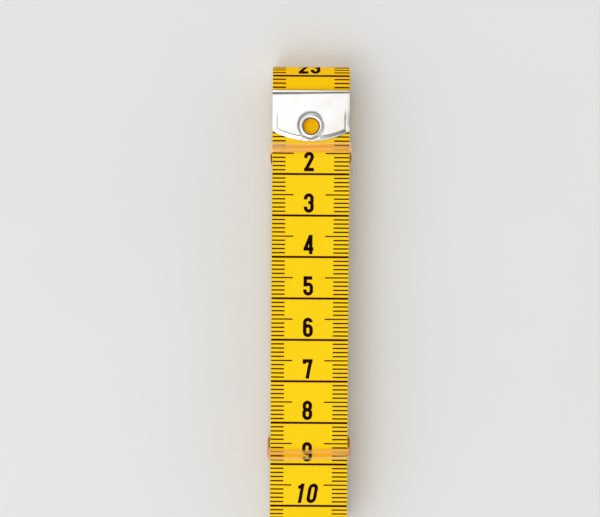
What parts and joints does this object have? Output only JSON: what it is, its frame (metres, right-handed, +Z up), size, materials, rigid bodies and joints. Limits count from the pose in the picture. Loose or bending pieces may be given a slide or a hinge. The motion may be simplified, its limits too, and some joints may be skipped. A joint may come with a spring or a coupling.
{
  "type": "cloth tape measure",
  "caption": "Flexible coated-cloth tape measure wound into a flat bundle, with folded metal end clips, an eyelet to hang it by and elastic bands that hold the turns.",
  "frame": {"origin": "middle of the underside, on the surface that the two elastic bands rest on", "axes": "+X across the tape's width, +Y along the bundle towards the end with the eyelet, +Z up out of the printed face"},
  "size_m": [0.0206, 0.111, 0.014],
  "materials": {
    "tape": "yellow vinyl coating on woven glass cloth, satin, with a dark printed scale and a white reverse",
    "clip_metal": "bright nickel plate on thin folded sheet",
    "eyelet_metal": "bright nickel plate",
    "band_rubber": "translucent amber rubber, smooth"
  },
  "bodies": {
    "hank": {"tape_hank": "tape", "inner_clip": "clip_metal"},
    "free_end": {"tape_lead": "tape", "outer_clip": "clip_metal", "eyelet": "eyelet_metal"},
    "upper_band": {"upper_elastic_band": "band_rubber"},
    "lower_band": {"lower_elastic_band": "band_rubber"}
  },
  "joints": [
    {"name": "end_lift", "type": "hinge", "parent": "hank", "child": "free_end", "pos_m": [0, 0.0373, 0.01282], "axis": [1, 0, 0], "range_deg": [0, 45]},
    {"name": "upper_band_slide", "type": "slide", "parent": "hank", "child": "upper_band", "axis": [0, -1, 0], "range_m": [0, 0.032]},
    {"name": "lower_band_slide", "type": "slide", "parent": "hank", "child": "lower_band", "axis": [0, -1, 0], "range_m": [-0.032, 0.01]}
  ]
}
